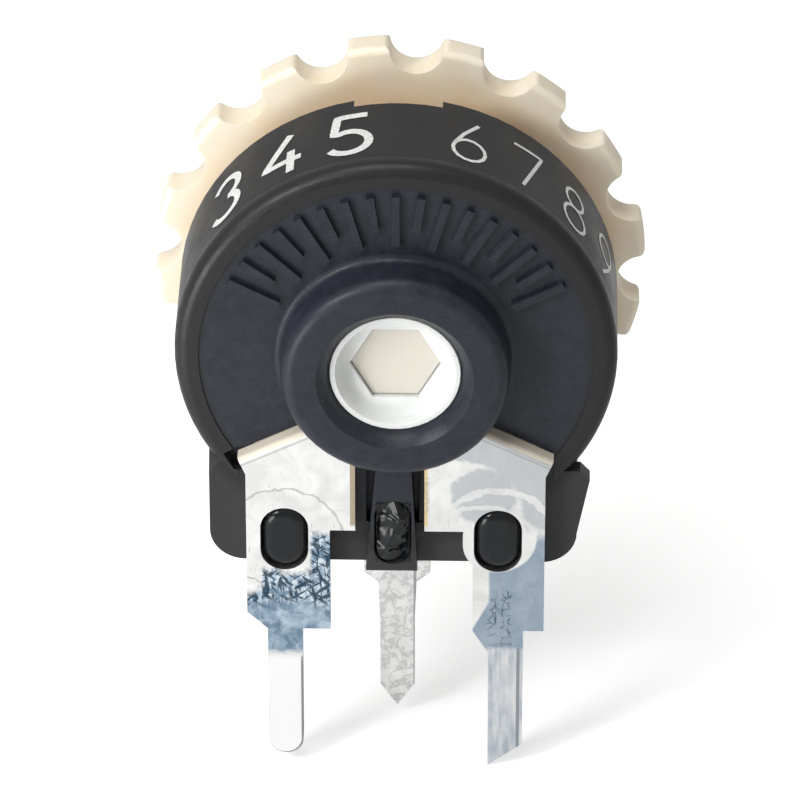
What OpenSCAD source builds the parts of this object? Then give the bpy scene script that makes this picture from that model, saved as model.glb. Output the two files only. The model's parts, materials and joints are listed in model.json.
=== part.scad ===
// Upright 10 mm trimmer potentiometer with a toothed thumbwheel.
// X runs along the row of pins, Y runs from the rear cover to the wheel, Z is up.
// Z = 0 is the board, Y = 0 is the middle of the outer terminals' sheet,
// and X = 0 is halfway between the outer pins. Lengths are in millimetres.

/* [Housing] */
// Outside diameter of the round housing
body_d = 10; // [9.9:0.05:10.6]
// Height of the rotor axis above the board
axis_h = 7.15; // [7.1:0.05:7.5]
// Thickness of the round wall
wall_t = 0.4; // [0.35:0.01:0.42]
// Thickness of the front wall
front_t = 0.72; // [0.5:0.02:0.9]
// How far the base block reaches below the round body
base_drop = 0.5; // [0.44:0.02:0.56]
// Half width of the base block
base_half_w = 4.26; // [4.2:0.01:4.3]
// Radius of the base block's lower corners
base_corner_r = 0.8; // [0.5:0.05:0.9]
// How far the cover's ear on the right flank stands out
ear_out = 0.16; // [0.1:0.01:0.2]
// Width of the notch in the front rim
notch_w = 2; // [1.4:0.1:2.6]
// Depth of the notch along the axis
notch_depth = 0.26; // [0.12:0.02:0.32]

/* [Rear cover] */
// Thickness of the cover at its round edge
cover_rim_t = 0.42; // [0.36:0.02:0.5]
// How far the cover's spigot reaches into the housing
spigot_t = 0.18; // [0.15:0.01:0.25]
// Radius of the rounded edge of the cover
cover_edge_r = 0.3; // [0.2:0.02:0.4]
// Width of the raised rim of the cover
rim_w = 0.54; // [0.46:0.02:0.6]
// How far the rim of the cover stands above its field
rim_step = 0.04; // [0.02:0.01:0.08]
// Diameter of the raised boss
boss_d = 5.15; // [5.05:0.05:5.2]
// Height of the boss above the cover's field
boss_h = 1.04; // [0.9:0.02:1.1]
// Radius of the rounded edge of the boss
boss_edge_r = 0.3; // [0.16:0.02:0.36]
// Radius of the fillet at the foot of the boss
boss_foot_r = 0.18; // [0.1:0.02:0.2]
// Height of the centre rib above the field
rib_h = 0.42; // [0.36:0.02:0.5]
// Diameter of the pegs' round ends
peg_w = 1.04; // [0.94:0.01:1.06]
// Height of the pegs
peg_h = 1.62; // [1.5:0.02:1.64]
// Height of the pegs' middle above the base block's underside
peg_rise = 0.82; // [0.78:0.01:0.86]
// Number of raised scale marks around the boss
mark_count = 17; // [9:2:19]
// Height of the raised scale marks
mark_h = 0.14; // [0.08:0.01:0.2]
// Width of a raised scale mark
mark_w = 0.18; // [0.12:0.01:0.2]

/* [Rotor] */
// Diameter of the rotor's neck in the boss
rear_neck_d = 2.94; // [2.8:0.02:3]
// Diameter of the rotor's neck in the front wall
front_neck_d = 3.9; // [3.6:0.05:4.2]
// Length of the stop lug beyond the rotor's disc
lug_len = 0.7; // [0.6:0.05:0.8]
// Thickness of the rotor's disc
disc_t = 0.71; // [0.6:0.01:0.8]
// How deep the rear neck's end lies below the boss's face
neck_sink = 0.34; // [0.2:0.02:0.4]
// Depth of the round recess in the rear neck
recess_depth = 0.44; // [0.3:0.02:0.6]
// Wall around the recess
recess_wall = 0.11; // [0.08:0.01:0.14]
// Width across the flats of the hexagonal hole
hex_flats = 1.8; // [1.6:0.02:1.84]
// Angle through which the rotor turns from stop to stop
turn_range = 235; // [225:1:240]
// Angle that the stop lug covers
lug_angle = 28; // [20:1:34]

/* [Thumbwheel] */
// Diameter over the wheel's teeth
wheel_d = 11.3; // [11.2:0.05:11.8]
// Thickness of the wheel
wheel_t = 0.76; // [0.7:0.02:1.1]
// Gap between the front wall and the wheel
wheel_gap = 1.08; // [0.8:0.02:1.4]
// Number of teeth
tooth_count = 16; // [14:1:17]
// Angle by which the teeth are turned on the shaft
tooth_turn = 7.4; // [0:0.1:22]
// Radius of the round grooves between the teeth
groove_r = 0.62; // [0.56:0.01:0.66]
// Depth of the grooves
groove_depth = 0.64; // [0.5:0.02:0.66]
// Radius of the teeth's corners beside the grooves
tooth_corner_r = 0.13; // [0.08:0.01:0.16]
// Radius of the rounded rims of the teeth
tooth_edge_r = 0.16; // [0.08:0.01:0.22]
// Diameter of the wheel's hub
hub_d = 3.8; // [3.4:0.05:4.2]
// Depth of the dish in the wheel's face
dish_depth = 0.24; // [0.1:0.02:0.3]
// Width of the screwdriver slot in the hub
slot_w = 0.6; // [0.4:0.05:0.8]
// Depth of the screwdriver slot
slot_depth = 0.8; // [0.5:0.05:1.2]

/* [Terminals] */
// Distance between the middles of the two outer pins
pin_pitch = 5.08; // [5.04:0.01:5.12]
// How far the centre pin stands ahead of the outer pins
pin_offset = 2; // [1.95:0.01:2.05]
// Length of the pins below the board's surface
pin_len = 3.5; // [3:0.1:4]
// Width of a pin
pin_w = 0.8; // [0.7:0.02:0.84]
// Thickness of the sheet
sheet_t = 0.4; // [0.36:0.01:0.42]
// Height of the plates' lower edge above the base block's underside
plate_rise = 1.07; // [1:0.01:1.12]
// Length of the folded edge
fold_len = 1.78; // [1.7:0.01:1.8]
// Slope of the folded edge, in degrees
fold_slope = 26.5; // [25:0.1:28]
// Radius of the fold's outer corner
fold_r = 0.14; // [0.08:0.01:0.18]
// Width of the centre terminal's shoulder
shoulder_w = 1.54; // [1.3:0.02:1.7]

/* [Element] */
// Thickness of the board that carries the track
board_t = 0.35; // [0.3:0.01:0.4]
// Thickness of the printed track
track_t = 0.04; // [0.03:0.01:0.06]
// Width of the track as a share of the board's width
track_share = 0.62; // [0.54:0.01:0.66]
// Angle of the carbon between the silver ends
track_angle = 220; // [210:1:224]
// Thickness of the wiper's spring sheet
wiper_t = 0.1; // [0.08:0.01:0.12]
// Width of the wiper
wiper_w = 0.84; // [0.7:0.02:0.9]

/* [Hidden] */
$fn = 96;

// Clearances
run_gap = 0.03;      // turning fits, on the radius
end_gap = 0.05;      // end play of the rotor
slip_gap = 0.03;     // pieces pushed together, each side
contact_gap = 0.02;  // under the wiper's contacts
lug_gap = 0.2;       // between the lug and the round wall
disc_gap = 0.15;     // between the disc and the stop
stop_gap = 0.4;      // between the lug and its stop, in degrees
cut = 1;             // how far cutters reach past a face
bury = 0.05;         // how far raised forms reach into their carrier

// Places along the axis, from the rear to the front
field_y = sheet_t / 2;
boss_y = field_y - boss_h;
parting_y = field_y + cover_rim_t;
inner_y = parting_y + spigot_t;
board_top_y = inner_y + board_t;
track_top_y = board_top_y + track_t;
ring_top_y = inner_y + sheet_t;
lip_top_y = track_top_y + sheet_t;
disc_y = lip_top_y + wiper_t + contact_gap;
disc_front_y = disc_y + disc_t;
front_inner_y = disc_front_y + 2 * end_gap;
front_y = front_inner_y + front_t;
hub_y = front_y + end_gap;
wheel_y = front_y + wheel_gap;
wheel_front_y = wheel_y + wheel_t;
rotor_end_y = boss_y + neck_sink;
recess_y = rotor_end_y + recess_depth;
shaft_sink = 0.12;
shaft_end_y = recess_y + shaft_sink;

// Radii about the rotor's axis
body_r = body_d / 2;
cavity_r = body_r - wall_t;
spigot_r = cavity_r - slip_gap;
boss_r = boss_d / 2;
bore_r = rear_neck_d / 2 + run_gap;
front_bore_r = front_neck_d / 2 + run_gap;
lug_r = cavity_r - lug_gap;
disc_r = lug_r - lug_len;
stop_r = disc_r + disc_gap;
wheel_r = wheel_d / 2;
groove_at = wheel_r - groove_depth + groove_r;

// The lead-in of the rear bore
lead_w = 0.28;
lead_r = bore_r + lead_w;

// The base block, its flanks' lean and the dowels, which stand outside the cavity
base_z = axis_h - body_r - base_drop;
base_top_z = axis_h - body_r / 2;
flank_top_z = axis_h - sqrt(pow(body_r, 2) - pow(base_half_w, 2));
ear_drop = 3.25;
ear_z = axis_h - ear_drop;
flank_lean = 0.12;
dowel_r = 0.28;
dowel_len = 0.8;
dowel_inset = 0.8;
dowel_wall = 0.17;
dowel_x = base_half_w - dowel_inset;
dowel_z = axis_h - sqrt(pow(cavity_r + dowel_wall + dowel_r, 2) - pow(dowel_x, 2));

// The hexagonal fit, the screwdriver slot and the wheel's dish
hex_corner_r = hex_flats / 2 / cos(30);
shaft_corner_r = (hex_flats / 2 - slip_gap) / cos(30);
slot_margin = 0.3;
slot_len = hub_d - 2 * slot_margin;
dish_margin = 0.55;
dish_r = wheel_r - groove_depth - dish_margin;

// Edges of the outer terminals, given for the right side
pin_x = pin_pitch / 2;
leg_out = 0.87;
left_leg_in = 1.04;
right_leg_in = 0.77;
leg_out_x = pin_x + leg_out;
left_leg_in_x = pin_x - left_leg_in;
right_leg_in_x = pin_x - right_leg_in;
left_plate_in_x = 0.92;
right_plate_in_x = 0.66;
right_peg_shift = 0.2;
left_peg_x = pin_x;
right_peg_x = pin_x - right_peg_shift;
peg_z = base_z + peg_rise;
plate_foot_z = base_z + plate_rise;
hole_w = peg_w + 2 * slip_gap;
hole_h = peg_h + 2 * slip_gap;
hole_rim_w = 0.25;
leg_chamfer = [0.46, 0.45];
left_round_r = pin_w / 2;
right_slant = 0.62;
right_tip_len = 0.3;
gusset_h = 0.62;
plate_round_r = boss_r + slip_gap;

// The fold: its outer and inner ends, and the tab that goes on through the cover
fold_overhang = 0.18;
fold_drop = 2.54;
fold_out = [leg_out_x + fold_overhang, axis_h - fold_drop];
fold_in = fold_out + fold_len * [-cos(fold_slope), sin(fold_slope)];
fold_neck = 0.4;
tab_start = 0.12;
tab_end = 0.4;
tab_len = fold_len - tab_start - tab_end;
lip_len = 0.3;

// The board lies round the windows for the tabs, and the track is printed in the middle of it
window_corner = fold_in - [0, axis_h] + slip_gap * [sin(fold_slope), cos(fold_slope)]
                + (tab_start - slip_gap) * [cos(fold_slope), -sin(fold_slope)];
window_rim = 0.18;
board_gap = 0.1;
pad_margin = 0.06;
board_inner_r = norm(window_corner) - window_rim;
board_r = cavity_r - board_gap;
board_w = board_r - board_inner_r;
track_w = track_share * board_w;
track_r = board_inner_r + 0.41 * board_w;

// The collector ring lies in the room between the rear bore and the board
ring_room = board_inner_r - bore_r;
ring_inner_r = bore_r + 0.235 * ring_room;
ring_r = bore_r + 0.81 * ring_room;
ring_w = ring_r - ring_inner_r;

// The wiper's crossbar, between ring and track, and its two rivets
bar_r = ring_r + 0.345 * (track_r - ring_r);
bar_w = 0.56;
rivet_r = 0.16;
rivet_x = 0.72;

// The centre terminal and the tongue that closes its slot
neck_w = 0.8;
cavity_foot_z = axis_h - cavity_r;
slot_top_z = cavity_foot_z + 0.2;
jog_z = [cavity_foot_z + 0.3, cavity_foot_z - 0.2];
tongue_h = 0.5;
shoulder_chamfer = [0.3, 0.25];
point_len = 0.6;
pin_taper = [0.05, 1.2];

// The rib, the channels on its flanks and the stake in its pocket
rib_face_y = field_y - rib_h;
rib_top_z = axis_h - boss_r + 0.3;
rib_top_x = [-0.41, 0.34];
rib_foot_x = [-0.68, 0.5];
channel_w = 0.26;
channel_depth = 0.3;
pocket_size = [0.86, 1.72];
pocket_at = [-0.06, base_z + 1.04];
pocket_depth = 0.16;
stake_gap = 0.07;
stake_ridge = 0.16;

// An outline in X and Z, made solid from Y = y0 to Y = y1
module slab(y0, y1) {
    translate([0, y1, 0])
        rotate([90, 0, 0])
            linear_extrude(y1 - y0) children();
}

// A profile in radius and Y, turned about the rotor's axis
module turned() {
    translate([0, 0, axis_h])
        rotate([-90, 0, 0])
            rotate_extrude() children();
}

// A profile in Y and Z, made solid across X and centred on X = 0
module across(w) {
    rotate([90, 0, 90])
        linear_extrude(w, center = true) children();
}

// A rectangle from corner p to corner q
module span(p, q) {
    translate(p) square(q - p);
}

// Children in X and Z, moved so that their origin lies on the rotor's axis
module about_axis() {
    translate([0, axis_h]) children();
}

// A sheet of thickness t seen from its edge, bent along the points
module bent_sheet(points, t) {
    for (i = [0 : len(points) - 2]) {
        step = points[i + 1] - points[i];
        translate(points[i])
            rotate(atan2(step.y, step.x))
                translate([0, -t / 2]) square([norm(step), t]);
        translate(points[i + 1]) circle(t / 2);
    }
}

// A pie slice that opens by half degrees to each side of the direction mid
module slice(mid, half, r) {
    parts = 4;
    reach = r / cos(half / parts);
    polygon(concat([[0, 0]],
        [for (i = [-parts : parts]) reach * [cos(mid + half * i / parts), sin(mid + half * i / parts)]]));
}

// A ring between two radii that opens by half degrees to each side of the direction mid
module sector(r0, r1, mid, half) {
    intersection() {
        difference() {
            circle(r1);
            circle(r0);
        }
        slice(mid, half, r1 + cut);
    }
}

// An upright slot with round ends
module obround(w, h) {
    square([w, h - w], center = true);
    for (s = [-1, 1]) translate([0, s * (h - w) / 2]) circle(w / 2);
}

// Places X along the right terminal's fold from its inner end, and Y down from the fold
module on_fold() {
    translate(fold_in) rotate(-fold_slope) mirror([0, 1]) children();
}

// Outline of the round body with its base block, whose right flank leans
module body_outline() {
    corner_x = base_half_w - base_corner_r;
    corner_z = base_z + base_corner_r;
    about_axis() circle(body_r);
    span([-corner_x, base_z], [corner_x - flank_lean, base_top_z]);
    polygon([[-base_half_w, corner_z], [base_half_w - flank_lean, corner_z], [base_half_w - flank_lean, ear_z],
             [base_half_w - 3 * flank_lean, base_top_z], [-base_half_w, base_top_z]]);
    translate([-corner_x, corner_z]) circle(base_corner_r);
    translate([corner_x - flank_lean, corner_z]) circle(base_corner_r);
}

// Outline of the cover's ear on that flank
module ear_outline() {
    polygon([[0, base_z + base_corner_r], [base_half_w - flank_lean, base_z + base_corner_r],
             [base_half_w + ear_out, ear_z], [base_half_w - flank_lean / 2, ear_z + 2 * flank_lean],
             [0, ear_z + 2 * flank_lean]]);
}

// Outline of the slot in which the centre terminal lies
module neck_slot() {
    span([-neck_w / 2 - slip_gap, base_z - cut], [neck_w / 2 + slip_gap, slot_top_z]);
}

// Outline of the holes for the cover's dowels, or of the dowels themselves
module dowels(r) {
    for (s = [-1, 1]) translate([s * dowel_x, dowel_z]) circle(r);
}

module housing() {
    stop_half = 180 - turn_range / 2 - lug_angle / 2 - stop_gap;
    color("#242527")
    difference() {
        slab(parting_y, front_y) body_outline();
        difference() {
            turned() span([0, parting_y - cut], [cavity_r, front_inner_y]);
            slab(disc_y, front_y) about_axis() sector(stop_r, body_r, -90, stop_half);
        }
        turned() span([0, front_inner_y - cut], [front_bore_r, front_y + cut]);
        slab(parting_y - cut, pin_offset + sheet_t / 2 + slip_gap) neck_slot();
        slab(parting_y - cut, parting_y + dowel_len + end_gap) dowels(dowel_r + slip_gap);
        slab(front_y - notch_depth, front_y + cut)
            about_axis() span([-notch_w / 2, body_r - 2 * wall_t], [notch_w / 2, body_r + cut]);
    }
}

// Profile of the cover's turned forms: plate with its raised rim, spigot, boss and the fillet at its foot
module cover_profile() {
    rim_y = field_y - rim_step;
    edge_at = [body_r - cover_edge_r, rim_y + cover_edge_r];
    span([0, field_y], [body_r - rim_w + bury, parting_y]);
    difference() {
        span([body_r - rim_w, rim_y], [body_r, parting_y]);
        difference() {
            span([edge_at.x, rim_y - cut], [body_r + cut, edge_at.y]);
            translate(edge_at) circle(cover_edge_r);
        }
    }
    span([0, field_y + bury], [spigot_r, inner_y]);
    span([0, boss_y], [boss_r - boss_edge_r, field_y + bury]);
    span([0, boss_y + boss_edge_r], [boss_r, field_y + bury]);
    translate([boss_r - boss_edge_r, boss_y + boss_edge_r]) circle(boss_edge_r);
    difference() {
        span([boss_r - bury, field_y - boss_foot_r], [boss_r + boss_foot_r, field_y + bury]);
        translate([boss_r + boss_foot_r, field_y - boss_foot_r]) circle(boss_foot_r);
    }
}

// The raised scale: marks in an arc over the boss, every other one short
module scale_marks() {
    first = 28;
    pitch = (180 - 2 * first) / (mark_count - 1);
    mark_gap = 0.4;
    for (i = [0 : mark_count - 1])
        rotate(first + i * pitch)
            span([boss_r + (i % 2 == 0 ? mark_gap : 2 * mark_gap), -mark_w / 2],
                 [body_r - rim_w - mark_gap / 2, mark_w / 2]);
}

// Outline of the rib below the boss
module rib_outline() {
    polygon([[rib_foot_x[0], base_z], [rib_foot_x[1], base_z], [rib_top_x[1], rib_top_z], [rib_top_x[0], rib_top_z]]);
}

// The stake in the rib's pocket: a round-ended pad pressed into three slanting faces that meet in a ridge
module stake() {
    size = pocket_size - [2 * stake_gap, 2 * stake_gap];
    floor_y = rib_face_y + pocket_depth;
    ridge_y = rib_face_y - stake_ridge / 4;
    intersection() {
        slab(ridge_y - cut, floor_y + bury) translate(pocket_at) obround(size.x, size.y);
        translate([pocket_at.x, ridge_y, pocket_at.y])
            rotate([0, 24, 0])
                intersection() {
                    rotate([0, 0, -26]) translate([-cut, 0, -2 * cut]) cube([2 * cut, cut, 4 * cut]);
                    rotate([0, 0, 20]) translate([-cut, 0, -2 * cut]) cube([2 * cut, cut, 4 * cut]);
                    translate([0, 0, size.y / 4])
                        rotate([-24, 0, 0]) translate([-cut, 0, -3 * cut]) cube([2 * cut, cut, 6 * cut]);
                }
    }
}

// The rib with the pocket in its face
module centre_rib() {
    difference() {
        slab(rib_face_y, field_y + bury) rib_outline();
        slab(rib_face_y - cut, rib_face_y + pocket_depth)
            translate(pocket_at) obround(pocket_size.x, pocket_size.y);
    }
    stake();
}

// Outline of the channels between the rib's flanks and the terminals' plates
module channels() {
    rise = plate_rise / (rib_top_z - base_z);
    for (s = [0, 1]) {
        foot_x = rib_foot_x[s] + rise * (rib_top_x[s] - rib_foot_x[s]);
        polygon([[rib_top_x[s], rib_top_z], [foot_x, plate_foot_z],
                 [foot_x + (2 * s - 1) * channel_w / 3, plate_foot_z],
                 [rib_top_x[s] + (2 * s - 1) * channel_w, rib_top_z]]);
    }
}

// A peg with round ends and a rounded top, standing on the field
module peg(x) {
    edge_r = peg_w / 4;
    top_y = field_y - sheet_t;
    module profile() {
        span([0, top_y + edge_r], [peg_w / 2, field_y + bury]);
        span([0, top_y], [peg_w / 2 - edge_r, top_y + edge_r + bury]);
        translate([peg_w / 2 - edge_r, top_y + edge_r]) circle(edge_r);
    }
    reach = (peg_h - peg_w) / 2;
    translate([x, 0, peg_z]) {
        for (s = [-1, 1]) translate([0, 0, s * reach]) rotate([-90, 0, 0]) rotate_extrude() profile();
        translate([0, 0, -reach])
            linear_extrude(2 * reach) for (s = [0, 1]) mirror([s, 0]) profile();
    }
}

// Where a terminal's plate lies on the field
module plate_seat(side) {
    mirror([side < 0 ? 1 : 0, 0])
        difference() {
            polygon([[right_plate_in_x - slip_gap, base_z - cut], [leg_out_x + slip_gap, base_z - cut],
                     fold_out + [slip_gap, 0], fold_in, [right_plate_in_x - slip_gap, axis_h - boss_r]]);
            about_axis() circle(boss_r + slip_gap / 2);
        }
}

// The windows through which the terminals' tabs pass, or the tabs themselves without a gap
module tab_outline(gap, reach) {
    for (s = [0, 1])
        mirror([s, 0])
            on_fold() span([tab_start - gap, -gap], [tab_start + tab_len + gap, reach + gap]);
}

// The base block of the cover, whose upper corner runs out into the round edge
module cover_block() {
    top_z = flank_top_z - bury;
    edge_y = field_y - rim_step + cover_edge_r;
    corner = [-base_half_w, field_y, top_z - 1.5 * cover_edge_r];
    up = [0, edge_y - field_y, 1.5 * cover_edge_r];
    along = [1.3 * cover_edge_r, 0, 1.5 * cover_edge_r];
    outward = cross(along, up);
    difference() {
        slab(field_y, parting_y) {
            intersection() {
                body_outline();
                polygon([[-body_r, base_z - cut], [body_r, base_z - cut], [body_r, ear_z], [0, ear_z],
                         [0, top_z], [-body_r, top_z]]);
            }
            ear_outline();
        }
        translate(corner)
            rotate([0, acos(outward.z / norm(outward)), atan2(outward.y, outward.x)])
                translate([-cut, -cut, 0]) cube([2 * cut, 2 * cut, cut]);
    }
}

module rear_cover() {
    color("#2b2c2f")
    difference() {
        union() {
            difference() {
                union() {
                    turned() cover_profile();
                    cover_block();
                }
                slab(boss_y - cut, field_y) for (s = [-1, 1]) plate_seat(s);
                slab(boss_y - cut, field_y + channel_depth)
                    difference() {
                        channels();
                        about_axis() circle(boss_r);
                    }
            }
            centre_rib();
            peg(-left_peg_x);
            peg(right_peg_x);
            slab(field_y - mark_h, field_y + bury) about_axis() scale_marks();
            slab(field_y + bury, pin_offset - sheet_t / 2 - slip_gap)
                span([-neck_w / 2, base_z], [neck_w / 2, base_z + tongue_h]);
            slab(field_y + bury, parting_y + dowel_len) dowels(dowel_r);
        }
        turned() {
            span([0, boss_y - cut], [bore_r, inner_y + cut]);
            polygon([[0, boss_y - bury], [lead_r + bury, boss_y - bury], [lead_r, boss_y],
                     [bore_r, rotor_end_y], [0, rotor_end_y]]);
        }
        slab(field_y - cut, inner_y + cut) tab_outline(slip_gap, sheet_t);
        slab(field_y - cut, field_y + channel_depth)
            mirror([1, 0]) on_fold()
                polygon([[fold_len - 0.2, -0.02], [fold_len + 0.02, -0.11], [fold_len + 0.33, -0.08],
                         [fold_len + 0.31, 0.4], [fold_len + 0.11, 0.53], [fold_len - 0.2, 0.5]]);
    }
}

// The fold of the right terminal: a flange, a narrower tab and the lip that holds the silver pad
module fold_and_tab() {
    module bend(y0, y1, reach) {
        difference() {
            span([0, y0], [reach, y1]);
            difference() {
                span([-cut, y0 - cut], [fold_r, y0 + fold_r]);
                translate([fold_r, y0 + fold_r]) circle(fold_r);
            }
        }
    }
    module along(from, to) {
        translate([fold_in.x, 0, fold_in.y])
            rotate([0, 90 + fold_slope, 0])
                translate([0, 0, from])
                    linear_extrude(to - from) children();
    }
    along(0, fold_len) bend(-sheet_t / 2, field_y, sheet_t);
    along(tab_start, tab_start + tab_len) {
        span([0, field_y - bury], [sheet_t, lip_top_y - fold_r]);
        mirror([0, 1]) bend(-lip_top_y, -track_top_y, sheet_t + lip_len);
    }
}

// An outer terminal drawn for the right side: plate, leg and pin, with the peg hole
module outer_terminal(plate_in_x, leg_in_x, peg_x) {
    fold_depth = (sheet_t / 2) * [-sin(fold_slope), -cos(fold_slope)];
    difference() {
        union() {
            slab(-sheet_t / 2, sheet_t / 2)
                difference() {
                    union() {
                        polygon([[plate_in_x, plate_foot_z], [plate_in_x, axis_h - boss_r + 0.2],
                                 fold_in + fold_depth, fold_out + fold_depth,
                                 [leg_out_x, fold_out.y - fold_neck], [leg_out_x, plate_foot_z]]);
                        span([leg_in_x, 0], [leg_out_x, plate_foot_z + cut]);
                        translate([peg_x, peg_z]) obround(hole_w + 2 * hole_rim_w, hole_h + hole_rim_w / 2);
                        span([pin_x - pin_w / 2, -pin_len - right_tip_len], [pin_x + pin_w / 2, cut]);
                    }
                    translate([peg_x, peg_z]) obround(hole_w, hole_h);
                    children();
                }
            fold_and_tab();
        }
        turned() span([0, boss_y - cut], [plate_round_r, lip_top_y + cut]);
    }
}

module left_terminal() {
    color("#cfd2d4")
    mirror([1, 0, 0])
        outer_terminal(left_plate_in_x, left_leg_in_x, left_peg_x) {
            polygon([[leg_out_x - leg_chamfer.x, -bury], [leg_out_x - leg_chamfer.x, 0],
                     [leg_out_x + leg_chamfer.x, 2 * leg_chamfer.y], [leg_out_x + leg_chamfer.x, -bury]]);
            difference() {
                span([pin_x - cut, -pin_len - cut], [pin_x + cut, -pin_len + left_round_r]);
                translate([pin_x, -pin_len + left_round_r]) circle(left_round_r);
            }
        }
}

module right_terminal() {
    color("#cfd2d4")
    outer_terminal(right_plate_in_x, right_leg_in_x, right_peg_x) {
        translate([pin_x - pin_w / 2, -pin_len - right_tip_len])
            polygon([[-pin_w, -right_slant], [2 * pin_w, 2 * right_slant], [2 * pin_w, -cut], [-pin_w, -cut]]);
    }
    color("#cfd2d4")
    slab(-sheet_t / 2, sheet_t / 2)
        polygon([[right_leg_in_x, 0], [pin_x - pin_w / 2, -gusset_h], [pin_x, -gusset_h], [pin_x, bury],
                 [right_leg_in_x, bury]]);
}

module centre_terminal() {
    color("#d3d5d6") {
        slab(inner_y, ring_top_y)
            difference() {
                union() {
                    about_axis() circle(ring_r);
                    span([-neck_w / 2, jog_z[0]], [neck_w / 2, axis_h - ring_inner_r - ring_w / 2]);
                }
                about_axis() circle(ring_inner_r);
            }
        across(neck_w)
            bent_sheet([[inner_y + sheet_t / 2, jog_z[0] + sheet_t / 2], [inner_y + sheet_t / 2, jog_z[0]],
                        [pin_offset, jog_z[1]], [pin_offset, base_z - sheet_t / 2]], sheet_t);
        slab(pin_offset - sheet_t / 2, pin_offset + sheet_t / 2) {
            polygon([[-shoulder_w / 2, base_z], [shoulder_w / 2, base_z],
                     [shoulder_w / 2, shoulder_chamfer.y], [shoulder_w / 2 - shoulder_chamfer.x, 0],
                     [-shoulder_w / 2 + shoulder_chamfer.x, 0], [-shoulder_w / 2, shoulder_chamfer.y]]);
            polygon([[-pin_w / 2 - pin_taper.x, bury], [-pin_w / 2, -pin_taper.y], [-pin_w / 2, -pin_len + point_len],
                     [0, -pin_len], [pin_w / 2, -pin_len + point_len], [pin_w / 2, -pin_taper.y],
                     [pin_w / 2 + pin_taper.x, bury]]);
        }
    }
}

module resistor_base() {
    color("#8a5a2c")
    slab(inner_y, board_top_y)
        difference() {
            about_axis() sector(board_inner_r, board_r, 90, 152);
            tab_outline(slip_gap, sheet_t);
        }
}

module carbon_track() {
    color("#1c1c1d")
    slab(board_top_y, track_top_y)
        about_axis() sector(track_r - track_w / 2, track_r + track_w / 2, 90, track_angle / 2);
}

module silver_ends() {
    pad_half = 19;
    color("#dfe1e0")
    slab(board_top_y, track_top_y)
        difference() {
            for (s = [-1, 1])
                about_axis() sector(board_inner_r + pad_margin, board_r - 3 * pad_margin,
                                    90 + s * (track_angle / 2 + pad_half), pad_half);
            tab_outline(slip_gap, sheet_t);
        }
}

module wiper() {
    bar_y = disc_y - wiper_t / 2;
    track_y = track_top_y + contact_gap + wiper_t / 2;
    ring_y = ring_top_y + contact_gap + wiper_t / 2;
    toe_rise = 1.2 * wiper_t;
    foot = track_w / 12;
    color("#d9b25a")
    difference() {
        union() {
            translate([0, 0, axis_h])
                across(wiper_w)
                    bent_sheet([[ring_y + toe_rise, ring_r - 0.9 * ring_w], [ring_y, ring_r - 0.6 * ring_w],
                                [ring_y, ring_r - 0.4 * ring_w], [bar_y, bar_r - bar_w / 2],
                                [bar_y, bar_r + bar_w / 2], [track_y, track_r - foot / 2],
                                [track_y, track_r + foot / 2], [track_y + toe_rise, track_r + 2 * foot]], wiper_t);
            slab(disc_y - wiper_t, disc_y)
                about_axis() translate([0, bar_r]) rotate(90) obround(bar_w, 2 * rivet_x + bar_w);
        }
        slab(disc_y - cut, disc_y + cut) rivets(rivet_r + slip_gap);
    }
}

// The two rivets moulded on the rotor's disc that hold the wiper, or the holes for them
module rivets(r) {
    about_axis() for (s = [-1, 1]) translate([s * rivet_x, bar_r]) circle(r);
}

module rotor() {
    recess_r = rear_neck_d / 2 - recess_wall;
    floor_r = 0.2;
    rivet_head = 0.04;
    color("#eef0ee")
    difference() {
        union() {
            turned() {
                span([0, rotor_end_y], [rear_neck_d / 2, disc_y + bury]);
                span([0, disc_y], [disc_r, disc_front_y]);
                span([0, disc_front_y - bury], [front_neck_d / 2, hub_y]);
            }
            slab(disc_y, disc_front_y) about_axis() sector(disc_r - lug_len, lug_r, 90, lug_angle / 2);
            slab(disc_y - wiper_t - rivet_head, disc_y + bury) rivets(rivet_r);
        }
        turned() {
            span([0, rotor_end_y - cut], [recess_r, recess_y - floor_r]);
            span([0, rotor_end_y - cut], [recess_r - floor_r, recess_y]);
            translate([recess_r - floor_r, recess_y - floor_r]) circle(floor_r);
        }
        slab(recess_y - cut, hub_y + cut) about_axis() circle(hex_corner_r, $fn = 6);
    }
}

// What a groove's corners lose to their rounding, with the groove's middle on X
module groove_corner() {
    inner_r = wheel_r - tooth_corner_r;
    outer_r = groove_r + tooth_corner_r;
    x = (pow(inner_r, 2) + pow(groove_at, 2) - pow(outer_r, 2)) / (2 * groove_at);
    middle = [x, sqrt(pow(inner_r, 2) - pow(x, 2))];
    difference() {
        polygon([middle, middle * (wheel_r + tooth_corner_r) / inner_r, [groove_at, 0]]);
        translate(middle) circle(tooth_corner_r);
    }
}

// Outline of the toothed wheel
module wheel_outline() {
    pitch = 360 / tooth_count;
    difference() {
        circle(wheel_r);
        for (i = [0 : tooth_count - 1])
            rotate(90 + tooth_turn + (i + 0.5) * pitch) {
                translate([groove_at, 0]) circle(groove_r);
                for (s = [0, 1]) mirror([0, s]) groove_corner();
            }
    }
}

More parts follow.
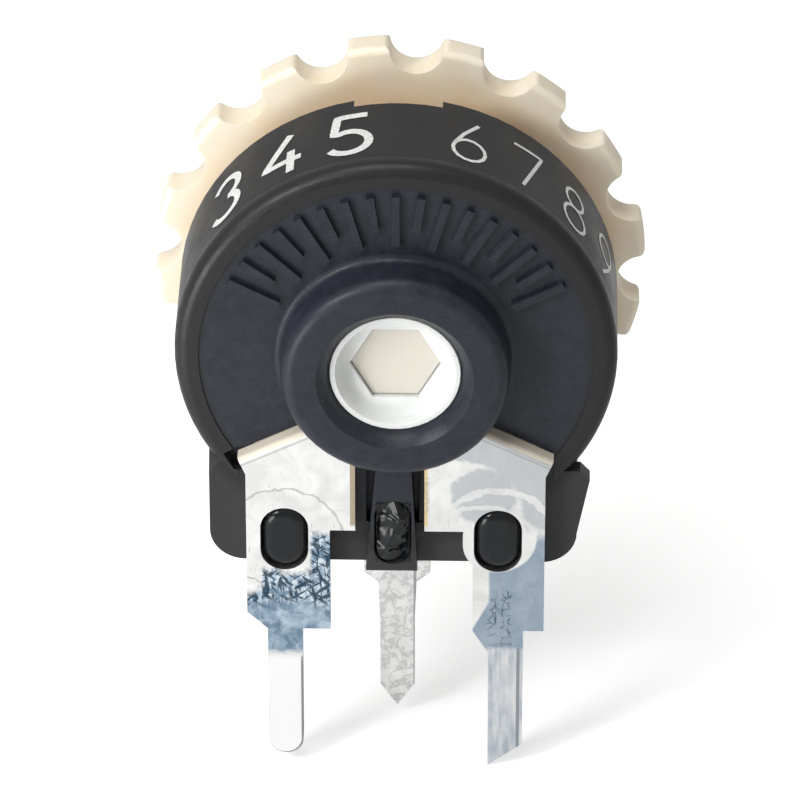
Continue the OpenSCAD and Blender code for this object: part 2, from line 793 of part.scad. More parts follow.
module thumbwheel() {
    color("#efe3cc")
    difference() {
        union() {
            intersection() {
                slab(wheel_y, wheel_front_y) about_axis() wheel_outline();
                turned() {
                    span([0, wheel_y], [wheel_r - tooth_edge_r, wheel_front_y]);
                    span([0, wheel_y + tooth_edge_r], [wheel_r + cut, wheel_front_y - tooth_edge_r]);
                    for (y = [wheel_y + tooth_edge_r, wheel_front_y - tooth_edge_r])
                        translate([wheel_r - tooth_edge_r, y]) circle(tooth_edge_r);
                }
            }
            turned() span([0, hub_y], [hub_d / 2, wheel_y + bury]);
            slab(shaft_end_y, hub_y + bury) about_axis() circle(shaft_corner_r, $fn = 6);
        }
        turned() span([hub_d / 2 + slot_margin, wheel_front_y - dish_depth], [dish_r, wheel_front_y + cut]);
        slab(wheel_front_y - slot_depth, wheel_front_y + cut)
            about_axis() square([slot_w, slot_len], center = true);
    }
}

housing();
rear_cover();
resistor_base();
carbon_track();
silver_ends();
left_terminal();
right_terminal();
centre_terminal();
wiper();
rotor();
thumbwheel();
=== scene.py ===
"""Upright trimmer potentiometer.

Finishes, printed numbers, floor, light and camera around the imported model.
"""

import json
import math

import bmesh
import bpy
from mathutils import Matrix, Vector

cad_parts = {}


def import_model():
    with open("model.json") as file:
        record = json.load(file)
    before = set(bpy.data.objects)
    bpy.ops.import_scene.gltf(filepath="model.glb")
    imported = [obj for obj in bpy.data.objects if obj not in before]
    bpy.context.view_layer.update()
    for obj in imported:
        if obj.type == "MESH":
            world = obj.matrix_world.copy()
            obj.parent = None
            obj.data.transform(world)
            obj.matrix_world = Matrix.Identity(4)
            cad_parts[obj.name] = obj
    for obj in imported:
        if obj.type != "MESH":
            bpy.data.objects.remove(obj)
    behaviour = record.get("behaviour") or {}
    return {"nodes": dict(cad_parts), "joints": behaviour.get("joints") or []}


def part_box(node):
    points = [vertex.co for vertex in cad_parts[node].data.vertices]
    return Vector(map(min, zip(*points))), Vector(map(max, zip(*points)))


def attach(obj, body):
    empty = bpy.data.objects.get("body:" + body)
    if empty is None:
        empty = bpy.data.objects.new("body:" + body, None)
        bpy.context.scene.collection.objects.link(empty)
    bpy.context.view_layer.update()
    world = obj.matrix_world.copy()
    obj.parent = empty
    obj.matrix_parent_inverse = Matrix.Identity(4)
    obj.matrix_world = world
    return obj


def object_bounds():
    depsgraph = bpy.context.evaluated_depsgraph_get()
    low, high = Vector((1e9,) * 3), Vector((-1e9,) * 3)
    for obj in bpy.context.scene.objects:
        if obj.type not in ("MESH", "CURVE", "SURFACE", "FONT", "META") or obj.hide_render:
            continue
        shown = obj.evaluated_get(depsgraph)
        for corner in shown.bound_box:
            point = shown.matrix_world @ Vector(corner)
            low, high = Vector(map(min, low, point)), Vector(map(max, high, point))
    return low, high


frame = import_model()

cad_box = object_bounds()
nodes = frame["nodes"]

MM = 0.001
AXIS = Vector(frame["joints"][0]["pos_m"])
BODY_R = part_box("housing")[1][0]
WALL_REAR_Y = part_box("housing")[0][1]

# Places of the CAD's details in millimetres, for the materials' masks. A pair of numbers is a soft border,
# from where its mask is 0 to where it is 1.
AXIS_Z = AXIS.z / MM
BASE_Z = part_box("rear_cover")[0][2] / MM
FIELD_EDGE_R = (4.3, 4.5)
BLOCK_EDGE_R = (4.9, 5.2)
POLISHED_Y = (0.16, 0.12)
PEG = {"x": 2.45, "z": BASE_Z + 0.82, "half_x": 0.66, "half_z": 0.86}
STAKE = {"x": -0.06, "z": BASE_Z + 1.04, "half_x": 0.42, "half_z": 0.86}
SHAFT_EDGE_R = (1.4, 3.6)
TEETH_R = (4.4, 5.5)
WHEEL_FRONT_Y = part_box("thumbwheel")[1][1] / MM
WHEEL_FACE_Y = (WHEEL_FRONT_Y - 0.4, WHEEL_FRONT_Y - 0.3)
PIN_X = 2.54
HOLE_Z = 2.47
FOLD_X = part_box("right_terminal")[1][0] / MM
FOLD_Z = AXIS_Z - 2.54
FOLD_SLOPE = math.tan(math.radians(26.5))

# The values that a noise texture mostly takes
NOISE_RANGE = (0.3, 0.7)


# Node helpers

class Graph:
    """Adds nodes to a node tree. A value is a number or a socket."""

    def __init__(self, tree):
        self.tree = tree

    def add(self, kind, **settings):
        node = self.tree.nodes.new(kind)
        for key, value in settings.items():
            setattr(node, key, value)
        return node

    def link(self, source, target):
        self.tree.links.new(source, target)

    def math(self, operation, a, b=0.0):
        node = self.add("ShaderNodeMath", operation=operation)
        for socket, value in zip(node.inputs, (a, b)):
            if isinstance(value, (int, float)):
                socket.default_value = value
            else:
                self.link(value, socket)
        return node.outputs[0]

    def plus(self, a, b):
        return self.math("ADD", a, b)

    def minus(self, a, b):
        return self.math("SUBTRACT", a, b)

    def times(self, a, b):
        return self.math("MULTIPLY", a, b)

    def larger(self, a, b):
        return self.math("MAXIMUM", a, b)

    def smaller(self, a, b):
        return self.math("MINIMUM", a, b)

    def absolute(self, value):
        return self.math("ABSOLUTE", value)

    def hypot(self, a, b):
        return self.math("SQRT", self.plus(self.times(a, a), self.times(b, b)))

    def remap(self, value, low, high, to_low=0.0, to_high=1.0):
        node = self.add("ShaderNodeMapRange")
        numbers = {"From Min": low, "From Max": high, "To Min": to_low, "To Max": to_high}
        for key, number in numbers.items():
            node.inputs[key].default_value = number
        self.link(value, node.inputs["Value"])
        return node.outputs["Result"]


class Shader(Graph):
    """Builds a material's nodes around one Principled shader, with coordinates in millimetres."""

    def __init__(self, name):
        self.material = bpy.data.materials.new(name)
        self.material.use_nodes = True
        super().__init__(self.material.node_tree)
        self.principled = self.tree.nodes["Principled BSDF"]
        self.mm = self.scaled_coordinates()

    def scaled_coordinates(self):
        coordinates = self.add("ShaderNodeTexCoord")
        scale = self.add("ShaderNodeVectorMath", operation="SCALE")
        scale.inputs["Scale"].default_value = 1 / MM
        self.link(coordinates.outputs["Object"], scale.inputs[0])
        return scale.outputs[0]

    def place(self):
        """The three coordinates in millimetres, as separate sockets."""
        node = self.add("ShaderNodeSeparateXYZ")
        self.link(self.mm, node.inputs[0])
        return node.outputs

    def axis_distance(self):
        """Distance from the rotor's axis in millimetres."""
        x, _, z = self.place()
        return self.hypot(x, self.minus(z, AXIS_Z))

    def stretched(self, x, y, z):
        """Coordinates stretched for grain or scratches that run along one axis."""
        multiply = self.add("ShaderNodeVectorMath", operation="MULTIPLY")
        multiply.inputs[1].default_value = (x, y, z)
        self.link(self.mm, multiply.inputs[0])
        return multiply.outputs[0]

    def slanted(self, degrees, along, across):
        """Coordinates turned in the plane of the sheet and stretched, for needles that lie at an angle."""
        node = self.add("ShaderNodeMapping", vector_type="TEXTURE")
        node.inputs["Rotation"].default_value = (0, math.radians(degrees), 0)
        node.inputs["Scale"].default_value = (along, 1, across)
        self.link(self.mm, node.inputs["Vector"])
        return node.outputs["Vector"]

    def noise(self, per_mm, detail=3.0, roughness=0.5, vector=None, distortion=0.0):
        node = self.add("ShaderNodeTexNoise")
        node.inputs["Scale"].default_value = per_mm
        node.inputs["Detail"].default_value = detail
        node.inputs["Roughness"].default_value = roughness
        node.inputs["Distortion"].default_value = distortion
        self.link(vector or self.mm, node.inputs["Vector"])
        return node.outputs["Fac"]

    def cell_edges(self, per_mm, vector):
        """Distance to the straight edges between crystal cells."""
        node = self.add("ShaderNodeTexVoronoi", feature="DISTANCE_TO_EDGE")
        node.inputs["Scale"].default_value = per_mm
        self.link(vector, node.inputs["Vector"])
        return node.outputs["Distance"]

    def spread(self, noise, to_low=0.0, to_high=1.0):
        """A noise stretched to run from one value to another."""
        return self.remap(noise, *NOISE_RANGE, to_low, to_high)

    def near(self, value, at, reach):
        """A mask that is 1 where the value is within reach of a place, with a soft edge."""
        return self.remap(self.absolute(self.minus(value, at)), reach, 0.9 * reach)

    def window(self, x, z, area):
        """A mask for a rectangle in the plane of the cover."""
        return self.times(self.near(x, area["x"], area["half_x"]), self.near(z, area["z"], area["half_z"]))

    def mix(self, factor, first, second):
        """Mixes two colours, each a tuple or a socket, by a factor socket."""
        node = self.add("ShaderNodeMix", data_type="RGBA")
        self.link(factor, node.inputs["Factor"])
        for key, value in (("A", first), ("B", second)):
            socket = next(s for s in node.inputs if s.name == key and s.type == "RGBA")
            if isinstance(value, tuple):
                socket.default_value = (*value, 1)
            else:
                self.link(value, socket)
        return next(s for s in node.outputs if s.type == "RGBA")

    def tint(self, color, tone, mask, strength):
        """The colour with a tone laid over it where the mask is 1, no stronger than the strength."""
        return self.mix(self.times(mask, strength), color, tone)

    def color(self, socket):
        self.link(socket, self.principled.inputs["Base Color"])

    def roughness(self, socket):
        self.link(socket, self.principled.inputs["Roughness"])

    def bump(self, height, depth_mm, strength=0.5):
        node = self.add("ShaderNodeBump")
        node.inputs["Strength"].default_value = strength
        node.inputs["Distance"].default_value = depth_mm * MM
        self.link(height, node.inputs["Height"])
        self.link(node.outputs["Normal"], self.principled.inputs["Normal"])

    def set(self, **values):
        for key, value in values.items():
            self.principled.inputs[key.replace("_", " ")].default_value = value


# Materials

def black_plastic(name, tone):
    """Moulded black thermoplastic: satin, with faint flow marks, fine grain and paler dust in the grain."""
    rim_tone = (0.016, 0.016, 0.016)
    # Painted light: a lighter tone for the base block, where the lamps light it more
    lit_block_tone = (0.027, 0.027, 0.028)
    polished_tone = (0.008, 0.009, 0.01)
    dark = tuple(0.7 * c for c in tone)
    light = tuple(1.4 * c for c in tone)
    s = Shader(name)
    flow = s.noise(0.55, detail=2, distortion=0.6)
    grain = s.noise(14, detail=3, roughness=0.6)
    mottle = s.noise(2.6, detail=4, roughness=0.65, distortion=0.8)

    dust = s.remap(s.plus(mottle, s.times(grain, 0.4)), 0.45, 0.95)
    distance = s.axis_distance()
    # Beyond BLOCK_EDGE_R from the axis the painted-light block tone, inside it the rim tone
    rim_and_lit_block = s.mix(s.remap(distance, *BLOCK_EDGE_R), rim_tone, lit_block_tone)
    plain = s.mix(s.remap(distance, *FIELD_EDGE_R), s.mix(dust, dark, light), rim_and_lit_block)

    # The tops of the pegs and of the stake are polished, and the stake is lumpy
    x, y, z = s.place()
    pegs = s.window(s.absolute(x), z, PEG)
    stake = s.window(x, z, STAKE)
    polished = s.times(s.larger(pegs, stake), s.remap(y, *POLISHED_Y))
    lumps = s.times(s.times(stake, polished), s.noise(2.0, detail=0.4, distortion=0.8))
    s.color(s.mix(polished, plain, polished_tone))

    satin = s.plus(s.spread(flow, 0.32, 0.44), s.spread(mottle, -0.03, 0.05))
    s.roughness(s.minus(satin, s.times(polished, 0.3)))
    relief = s.plus(s.times(grain, 0.05), s.times(mottle, 0.05))
    s.bump(s.plus(relief, s.times(lumps, 2.4)), 0.12, strength=0.7)
    s.set(Specular_IOR_Level=0.27, IOR=1.5)
    return s.material


def white_plastic():
    """The rotor's glossy white acetal."""
    s = Shader("white_acetal")
    s.color(s.mix(s.spread(s.noise(1.2, detail=2)), (0.78, 0.8, 0.78), (0.86, 0.87, 0.85)))
    s.roughness(s.spread(s.noise(9, detail=2), 0.28, 0.4))
    s.bump(s.noise(6, detail=2), 0.003)
    s.set(IOR=1.48, Subsurface_Weight=0.25, Subsurface_Scale=0.4 * MM, Subsurface_Radius=(1.0, 0.95, 0.85))
    return s.material


def ivory_plastic():
    """The thumbwheel's ivory plastic: pale, with painted shade as tan on the rear face near the housing and
    grey on the shaft's end in the rotor's socket.
    """
    s = Shader("ivory_plastic")
    cloud = s.noise(0.8, detail=3, distortion=0.4)
    clouded = s.spread(cloud)
    # Painted shade: tan on the rear face near the housing, which shades it
    tan = s.mix(clouded, (0.92, 0.67, 0.41), (0.96, 0.73, 0.47))
    pale = s.mix(clouded, (0.9, 0.79, 0.62), (0.94, 0.84, 0.69))
    # Painted shade: grey on the shaft's end, sunk in the rotor's hex socket
    grey = s.mix(clouded, (0.7, 0.66, 0.57), (0.74, 0.7, 0.61))
    distance = s.plus(s.axis_distance(), s.times(cloud, 0.4))
    shaded_disc = s.mix(s.remap(distance, *TEETH_R), tan, pale)
    rear = s.mix(s.remap(distance, *SHAFT_EDGE_R), grey, shaded_disc)
    # The face away from the housing stays pale, without the painted shade
    s.color(s.mix(s.remap(s.place()[1], *WHEEL_FACE_Y), rear, pale))
    s.roughness(s.spread(s.noise(7, detail=2), 0.4, 0.55))
    s.bump(s.noise(10, detail=3), 0.004)
    s.set(IOR=1.48, Subsurface_Weight=0.3, Subsurface_Scale=0.5 * MM, Subsurface_Radius=(1.0, 0.8, 0.5))
    return s.material


class TinnedSheet(Shader):
    """Tinned sheet: bright plates, a right plate darkened with grey swirls of painted shade, beige folds of
    painted light and crystalline tin on the legs, blue as a painted reflection.

    Masks lie in the plane of the sheet: x and z are millimetres, side is x without its sign, and height is
    z made uneven, for ragged borders.
    """

    def __init__(self):
        super().__init__("tinned_sheet")
        self.x, _, self.z = self.place()
        self.side = self.absolute(self.x)
        self.blotch = self.noise(1.5, detail=3, distortion=0.8)
        self.cloud = self.noise(2.8, detail=4, roughness=0.6, distortion=0.5)
        self.streaks = self.noise(1.6, detail=4, roughness=0.6, vector=self.stretched(3, 3, 0.5))
        self.scratches = self.noise(3, detail=4, roughness=0.65, vector=self.stretched(6, 6, 0.8))
        self.height = self.plus(self.z, self.times(self.blotch, 0.6))
        self.shift = self.times(self.cloud, 0.3)

    def circle(self, x, z):
        """Distance from a place that is given on the right terminal."""
        return self.hypot(self.minus(self.side, x), self.minus(self.z, z))

    def ragged_circle(self, x, z):
        return self.plus(self.circle(x, z), self.shift)

    def plates(self):
        """Colour of the plates, and how far the arcs in the right plate's painted shade stand out."""
        plain = self.mix(self.remap(self.blotch, 0.35, 0.65), (0.7, 0.7, 0.69), (0.84, 0.84, 0.82))
        color = self.mix(self.remap(self.scratches, 0.66, 0.72), plain, (0.45, 0.46, 0.47))

        # Painted shade: grey, swirled patches that darken the right plate, which the light from the left
        # reaches less, with lighter arcs in them
        right_plate = self.remap(self.x, 0.6, 0.7)
        lobe = self.remap(self.ragged_circle(2.0, 3.7), 0.95, 0.85)
        flank = self.times(self.remap(self.ragged_circle(1.35, 3.05), 1.7, 1.8),
                           self.remap(self.height, 3.0, 3.2))
        arcs = self.larger(self.near(self.ragged_circle(2.34, HOLE_Z), 1.52, 0.09),
                           self.near(self.ragged_circle(2.0, 2.0), 1.55, 0.07))
        painted_shade_swirls = self.times(self.times(right_plate, self.larger(lobe, flank)),
                               self.remap(arcs, 0, 1, 1.0, 0.25))
        color = self.tint(color, (0.46, 0.49, 0.51), painted_shade_swirls, 0.8)

        # Painted shade: dark, warm lines along the plates' inner edges, beside the shadowed gaps at the rib
        above_holes = self.remap(self.z, 2.8, 2.9)
        for edge_x, width, edge_shade_tone in ((-0.96, 0.08, (0.42, 0.35, 0.26)), (0.68, 0.06, (0.72, 0.58, 0.34))):
            color = self.mix(self.times(above_holes, self.near(self.x, edge_x, width)), color, edge_shade_tone)

        # A thin arc over the left hole
        left_plate = self.remap(self.x, -0.6, -0.7)
        scored = self.times(left_plate, self.near(self.ragged_circle(PIN_X, HOLE_Z), 1.5, 0.03))
        color = self.tint(color, (0.3, 0.3, 0.3), scored, 0.5)
        return color, self.times(arcs, painted_shade_swirls)

    def left_leg(self):
        """Mask and colour of the left leg's blotchy, crystalline tin, blue as a painted reflection, and the
        dark needles in it.
        """
        above_pin = self.times(self.remap(self.x, -1.2, -1.3), self.remap(self.height, -0.45, -0.3))
        below_hole = self.remap(self.height, 2.0, 1.8)
        beside_hole = self.times(self.remap(self.x, -1.98, -1.9), self.remap(self.height, 3.0, 2.8))
        white_strip = self.times(self.remap(self.x, -3.02, -3.1), self.remap(self.height, 1.3, 1.5))
        mask = self.times(self.times(above_pin, self.larger(below_hole, beside_hole)),
                          self.minus(1.0, white_strip))

        crowded = self.remap(self.height, 0.85, 1.15, 0.1, 1.0)
        spots = self.noise(6, detail=2, vector=self.stretched(1, 1, 0.6))
        needles = self.remap(self.streaks, 0.58, 0.64)
        for angle in (38, -36, 84):
            slanting = self.noise(4.4, detail=2, vector=self.slanted(angle, 1.9, 0.42))
            needles = self.larger(needles, self.remap(slanting, 0.545, 0.595))
        needles = self.times(needles, crowded)
        # Painted reflection: the blues stand for bluish surroundings mirrored in the tin; the cells, spots
        # and needles are the tin's own crystals
        color = self.mix(self.remap(self.cloud, 0.38, 0.62), (0.16, 0.24, 0.33), (0.44, 0.55, 0.64))
        color = self.mix(self.times(crowded, self.remap(spots, 0.52, 0.6)), color, (0.62, 0.7, 0.76))
        color = self.tint(color, (0.02, 0.045, 0.075), needles, 0.9)
        return mask, color, needles

    def right_leg(self):
        """Mask and colour of the right leg's smooth tin, blue as a painted reflection, with a few dark
        specks, and of its pin.
        """
        below_hole = self.times(self.remap(self.circle(2.3, 2.55), 0.9, 0.95),
                                self.remap(self.height, 3.05, 2.85))
        from_bend = self.minus(self.x, self.times(self.smaller(self.z, 0.8), 0.5))
        mask = self.times(self.times(self.remap(self.x, 1.2, 1.3), below_hole),
                          self.remap(from_bend, 1.72, 1.78))

        crystals = self.smaller(self.cell_edges(3.2, self.stretched(1, 1, 1.7)),
                                self.cell_edges(2.3, self.stretched(1.9, 1, 0.8)))
        crystals = self.remap(self.plus(crystals, self.times(self.cloud, 0.12)), 0.1, 0.07)
        specks = self.times(self.near(self.x, 2.38, 0.3), self.times(self.near(self.z, 0.3, 0.85), crystals))
        specks = self.times(specks, self.remap(self.streaks, 0.44, 0.5))
        # Painted reflection: the leg's blue stands for bluish surroundings mirrored in the tin
        smooth = self.mix(self.spread(self.cloud), (0.27, 0.34, 0.42), (0.36, 0.42, 0.49))
        smooth = self.tint(smooth, (0.05, 0.08, 0.11), specks, 0.8)
        pin = self.mix(self.remap(self.streaks, 0.36, 0.6), (0.4, 0.45, 0.5), (0.68, 0.69, 0.7))
        # Painted shade: a dark line along the pin's right edge, where its side is seen
        pin = self.mix(self.near(self.x, 2.83, 0.04), pin, (0.28, 0.3, 0.33))
        return mask, self.mix(self.remap(self.height, -0.15, -0.35), smooth, pin)

    def left_pin(self, color):
        """A brighter pin, with painted shade as a dark border along its edges, wider on the right where the
        pin's side is seen.
        """
        mask = self.times(self.remap(self.x, -1.2, -1.3), self.remap(self.height, -0.45, -0.6))
        color = self.mix(mask, color, (0.88, 0.88, 0.88))
        across = self.plus(self.x, PIN_X)
        below_round = self.smaller(self.plus(self.z, 3.1), 0)
        from_middle = self.plus(self.hypot(across, below_round), self.times(across, 0.06))
        # Painted shade along the pin's edges
        outline_shade = self.remap(from_middle, 0.365, 0.385, 0, 0.85)
        return self.mix(self.times(mask, outline_shade), color, (0.14, 0.15, 0.18))

    def centre_pin(self, color):
        """Grey veins, and painted shade as a dark line on the right edge, where the pin's side is seen."""
        vein = self.remap(self.absolute(self.minus(self.cloud, 0.5)), 0.07, 0)
        veins = self.times(self.remap(self.side, 0.8, 0.75), vein)
        color = self.tint(color, (0.36, 0.36, 0.36), veins, 0.55)
        # Painted shade: a dark line down the pin's right edge
        edge = self.times(self.near(self.x, 0.41, 0.035), self.remap(self.z, 0.9, 0.8))
        return self.tint(color, (0.22, 0.22, 0.23), edge, 0.7)

    def folds(self, color):
        """Mask of the folded edges, and the colour with them and below them: the folds' beige is painted
        light, for folds that face up to the light and the pale wheel, and a dark line along the bend below is
        painted shade.
        """
        slope = self.times(self.minus(self.side, FOLD_X), FOLD_SLOPE)
        above_face = self.minus(self.plus(self.z, slope), FOLD_Z)
        mask = self.remap(above_face, -0.12, -0.08)
        # Painted shade: a dark line along the bend below each fold
        crease_shade = self.near(above_face, -0.2, 0.03)
        color = self.tint(color, (0.3, 0.28, 0.26), crease_shade, 0.45)
        # Painted light: the folds' beige, reflecting the light and the ivory wheel above
        return mask, self.mix(mask, color, (0.66, 0.6, 0.5))

    def paint(self):
        plate_color, arc_relief = self.plates()
        left_mask, left_color, needles = self.left_leg()
        right_mask, right_color = self.right_leg()
        color = self.mix(left_mask, self.mix(right_mask, plate_color, right_color), left_color)
        fold, color = self.folds(self.centre_pin(self.left_pin(color)))
        self.color(color)
        self.roughness(self.plus(self.spread(self.scratches, 0.28, 0.44), self.times(fold, 0.2)))
        relief = self.plus(self.times(self.scratches, 0.4), self.times(self.minus(1.0, needles), left_mask))
        self.bump(self.plus(relief, arc_relief), 0.014, strength=0.6)
        self.link(self.minus(1.0, self.times(fold, 0.9)), self.principled.inputs["Metallic"])
        return self.material


def laminate():
    """Brown phenolic board with fine fibres."""
    s = Shader("phenolic_board")
    fibre = s.noise(5, detail=4, vector=s.stretched(1, 1, 6))
    s.color(s.mix(s.spread(fibre), (0.26, 0.13, 0.045), (0.4, 0.22, 0.08)))
    s.roughness(s.spread(fibre, 0.4, 0.6))
    s.bump(fibre, 0.004)
    return s.material


def ink(name, dark, light, roughness, metallic=0.0):
    """A printed layer with a fine grain: carbon, silver or marking ink."""
    s = Shader(name)
    grain = s.noise(18, detail=3, roughness=0.6)
    s.color(s.mix(s.remap(grain, 0.35, 0.65), dark, light))
    s.roughness(s.spread(grain, roughness - 0.08, roughness + 0.08))
    s.bump(grain, 0.003)
    s.set(Metallic=metallic)
    return s.material


def brass():
    """Rolled spring brass."""
    s = Shader("spring_brass")
    roll = s.noise(4, detail=3, vector=s.stretched(8, 1, 1))
    s.color(s.mix(s.spread(roll), (0.74, 0.52, 0.2), (0.86, 0.66, 0.32)))
    s.roughness(s.spread(roll, 0.2, 0.34))
    s.bump(roll, 0.002)
    s.set(Metallic=1.0)
    return s.material


marking = ink("marking_ink", (0.62, 0.62, 0.6), (0.86, 0.86, 0.84), 0.5)
finishes = {
    "housing_plastic": black_plastic("black_housing", (0.02, 0.02, 0.021)),
    "cover_plastic": black_plastic("black_cover", (0.017, 0.02, 0.028)),
    "laminate": laminate(),
    "carbon_ink": ink("carbon_ink", (0.02, 0.02, 0.02), (0.05, 0.05, 0.05), 0.6),
    "silver_ink": ink("silver_ink", (0.6, 0.6, 0.58), (0.8, 0.8, 0.78), 0.4, metallic=0.8),
    "tinned_sheet": TinnedSheet().paint(),
    "spring_brass": brass(),
    "rotor_plastic": white_plastic(),
    "wheel_plastic": ivory_plastic(),
}
for node in nodes.values():
    for slot in node.material_slots:
        slot.material = finishes[slot.material.name.split(".")[0]]


# Broken edges

def soften_edges(node, width, segments=2):
    """Breaks the sharp edges of a node, so that they catch the light as moulded edges do."""
    weld = node.modifiers.new("weld", "WELD")
    weld.merge_threshold = 0.0005 * MM
    bevel = node.modifiers.new("edges", "BEVEL")
    bevel.width = width
    bevel.segments = segments
    bevel.limit_method = "ANGLE"
    bevel.angle_limit = math.radians(50)


soften_edges(nodes["rear_cover"], 0.03 * MM)


# Printed numbers on the round wall

def arc(cx, cy, radius, start, end, steps=14):
    """Points on an arc, from start to end in degrees."""
    turns = [math.radians(start + (end - start) * i / steps) for i in range(steps + 1)]
    return [(cx + radius * math.cos(t), cy + radius * math.sin(t)) for t in turns]


# Each digit is drawn in strokes on a cell of this width and a height of 1
CELL_WIDTH = 0.6
DIGITS = {
    "3": [arc(0.28, 0.75, 0.25, 155, -80) + arc(0.28, 0.26, 0.26, 80, -155)],
    "4": [[(0.42, 1.0), (0.02, 0.32), (0.6, 0.32)], [(0.44, 0.56), (0.44, 0.0)]],
    "5": [[(0.52, 1.0), (0.1, 1.0), (0.06, 0.56)] + arc(0.27, 0.3, 0.29, 118, -150)],
    "6": [[(0.44, 1.0), (0.2, 0.68)] + arc(0.29, 0.27, 0.27, 150, 510)],
    "7": [[(0.02, 0.98), (0.56, 0.98), (0.2, 0.0)]],
    "8": [arc(0.3, 0.75, 0.22, -90, 270), arc(0.3, 0.26, 0.27, 90, -270)],
    "9": [arc(0.31, 0.73, 0.27, -30, 330) + [(0.4, 0.32), (0.16, 0.0)]],
}
POINT_GAP = 0.05
STROKE_ROWS = (-1, -0.33, 0.33, 1)
PRINT_R = BODY_R + 0.008 * MM
PRINT_HEIGHT = 1.62 * MM
PRINT_BASE_Y = WALL_REAR_Y + 0.3 * MM

# Piece, digits, angle of the first digit and from one to the next in degrees, width of a digit and a stroke
PRINTED_GROUPS = (
    ("printed_numbers_left", "345", 140, -19, 0.98 * MM, 0.2 * MM),
    ("printed_numbers_right", "6789", 71, -17, 0.85 * MM, 0.1 * MM),
)


def ribbon(mesh, points, width, place):
    """Adds a flat stroke of the given width along the points, each mapped by place."""
    path = [Vector(p) for p in points]
    rows = []
    for i, point in enumerate(path):
        ahead = path[min(i + 1, len(path) - 1)] - path[max(i - 1, 0)]
        side = Vector((-ahead.y, ahead.x)).normalized() * width / 2
        rows.append([mesh.verts.new(place(point + side * k)) for k in STROKE_ROWS])
    for a, b in zip(rows, rows[1:]):
        for k in range(len(STROKE_ROWS) - 1):
            mesh.faces.new((a[k], b[k], b[k + 1], a[k + 1]))


def densify(points, gap):
    """The same path with points no further apart than gap."""
    out = [points[0]]
    for start, end in zip(points, points[1:]):
        count = max(1, math.ceil(math.dist(start, end) / gap))
        out += [tuple(a + (b - a) * i / count for a, b in zip(start, end)) for i in range(1, count + 1)]
    return out


def printed_digit(mesh, digit, middle_deg, width, stroke):
    """Draws one digit on the wall, middle_deg round from +X, to be read from the rear and above."""
    def place(point):
        along = (point.x - CELL_WIDTH / 2) / CELL_WIDTH * width
        turn = math.radians(middle_deg) - along / BODY_R
        return Vector((PRINT_R * math.cos(turn), PRINT_BASE_Y + point.y * PRINT_HEIGHT,
                       AXIS.z + PRINT_R * math.sin(turn)))
    for points in DIGITS[digit]:
        ribbon(mesh, densify(points, POINT_GAP), stroke / PRINT_HEIGHT, place)


def mesh_object(name, mesh, material, body):
    data = bpy.data.meshes.new(name)
    mesh.normal_update()
    mesh.to_mesh(data)
    mesh.free()
    data.materials.append(material)
    piece = bpy.data.objects.new(name, data)
    bpy.context.scene.collection.objects.link(piece)
    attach(piece, body)


for name, digits, first, pitch, width, stroke in PRINTED_GROUPS:
    mesh = bmesh.new()
    for i, digit in enumerate(digits):
        printed_digit(mesh, digit, first + i * pitch, width, stroke)
    mesh_object(name, mesh, marking, "root")


# Floor, light and camera

FLOOR_HALF = 1.2
FLOOR_GLOW = 0.5
WORLD_LIGHT = 0.36
GLOSS_SHARE = 0.3

# Name, place, target, size and power
LAMPS = (
    ("key_left", (-0.044, -0.038, 0.044), (0, 0, 0.007), 0.022, 0.025),
    ("top", (-0.015, -0.02, 0.1), (0, 0, 0.006), 0.05, 0.036),
    ("low_left", (-0.022, -0.021, 0.002), (-0.003, 0, 0.006), 0.014, 0.004),
)


def background_share(graph):
    """How much of the pale background a ray sees: all for the camera, part for gloss and glass."""
    path = graph.add("ShaderNodeLightPath").outputs
    indirect = graph.larger(path["Is Glossy Ray"], path["Is Transmission Ray"])
    return graph.larger(path["Is Camera Ray"], graph.times(indirect, GLOSS_SHARE))


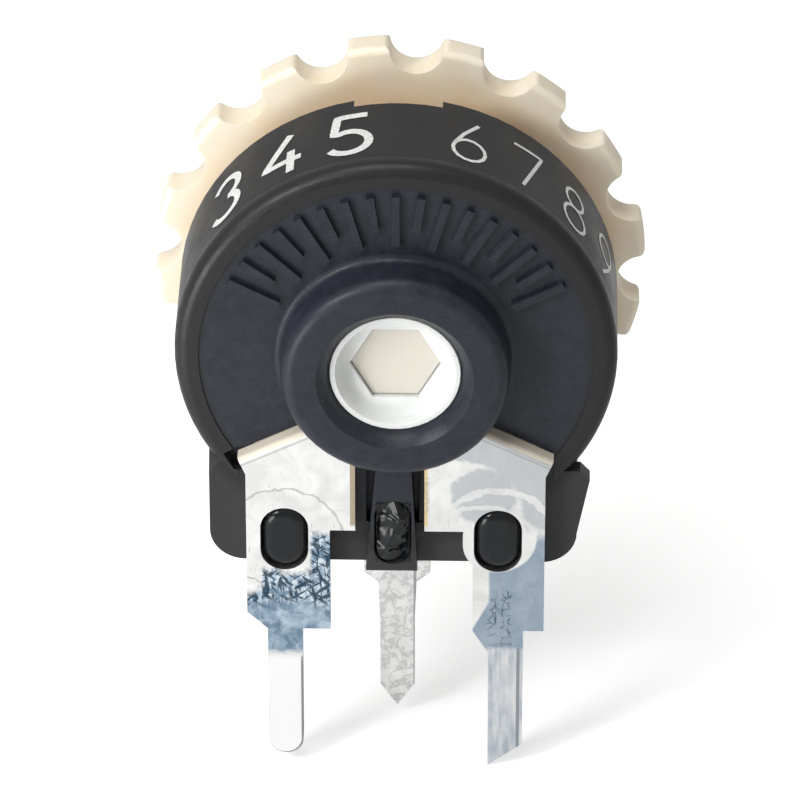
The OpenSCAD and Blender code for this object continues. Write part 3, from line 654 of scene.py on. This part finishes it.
def floor():
    mesh = bmesh.new()
    bmesh.ops.create_grid(mesh, x_segments=8, y_segments=8, size=FLOOR_HALF)
    data = bpy.data.meshes.new("floor")
    mesh.to_mesh(data)
    mesh.free()
    plane = bpy.data.objects.new("floor", data)
    plane.location.z = cad_box[0][2]
    bpy.context.scene.collection.objects.link(plane)
    material = bpy.data.materials.new("pale_floor")
    material.use_nodes = True
    graph = Graph(material.node_tree)
    graph.tree.nodes.clear()
    diffuse = graph.add("ShaderNodeBsdfDiffuse")
    diffuse.inputs["Color"].default_value = (0.86, 0.86, 0.86, 1)
    glow = graph.add("ShaderNodeEmission")
    both = graph.add("ShaderNodeAddShader")
    output = graph.add("ShaderNodeOutputMaterial")
    graph.link(graph.times(background_share(graph), FLOOR_GLOW), glow.inputs["Strength"])
    graph.link(diffuse.outputs[0], both.inputs[0])
    graph.link(glow.outputs[0], both.inputs[1])
    graph.link(both.outputs[0], output.inputs["Surface"])
    data.materials.append(material)


def world():
    scene_world = bpy.data.worlds.new("studio")
    bpy.context.scene.world = scene_world
    scene_world.use_nodes = True
    graph = Graph(scene_world.node_tree)
    background = graph.tree.nodes["Background"]
    background.inputs["Color"].default_value = (1, 1, 1, 1)
    strength = graph.remap(background_share(graph), 0, 1, WORLD_LIGHT, 1.0)
    graph.link(strength, background.inputs["Strength"])


def area_light(name, place, target, size, power):
    lamp = bpy.data.lights.new(name, "AREA")
    lamp.shape = "DISK"
    lamp.size = size
    lamp.energy = power
    item = bpy.data.objects.new(name, lamp)
    item.location = place
    item.rotation_euler = (Vector(target) - Vector(place)).to_track_quat("-Z", "Y").to_euler()
    bpy.context.scene.collection.objects.link(item)


def camera():
    """The photograph's own viewing angle: almost square on, from above, through a long lens."""
    azimuth = math.radians(1.25)
    elevation = math.radians(32.44)
    distance = 152.4 * MM
    target = Vector((0.1, 0, 6.14)) * MM
    focal_px = 6750
    frame_px = 800
    data = bpy.data.cameras.new("camera")
    data.sensor_width = 36
    data.lens = focal_px / frame_px * data.sensor_width
    data.clip_start = 0.01
    data.clip_end = 10
    item = bpy.data.objects.new("camera", data)
    forward = Vector((-math.sin(azimuth) * math.cos(elevation), math.cos(azimuth) * math.cos(elevation),
                      -math.sin(elevation)))
    item.location = target - distance * forward
    item.rotation_euler = forward.to_track_quat("-Z", "Y").to_euler()
    bpy.context.scene.collection.objects.link(item)
    bpy.context.scene.camera = item


floor()
world()
for lamp in LAMPS:
    area_light(*lamp)
camera()
bpy.context.scene.view_settings.view_transform = "Standard"
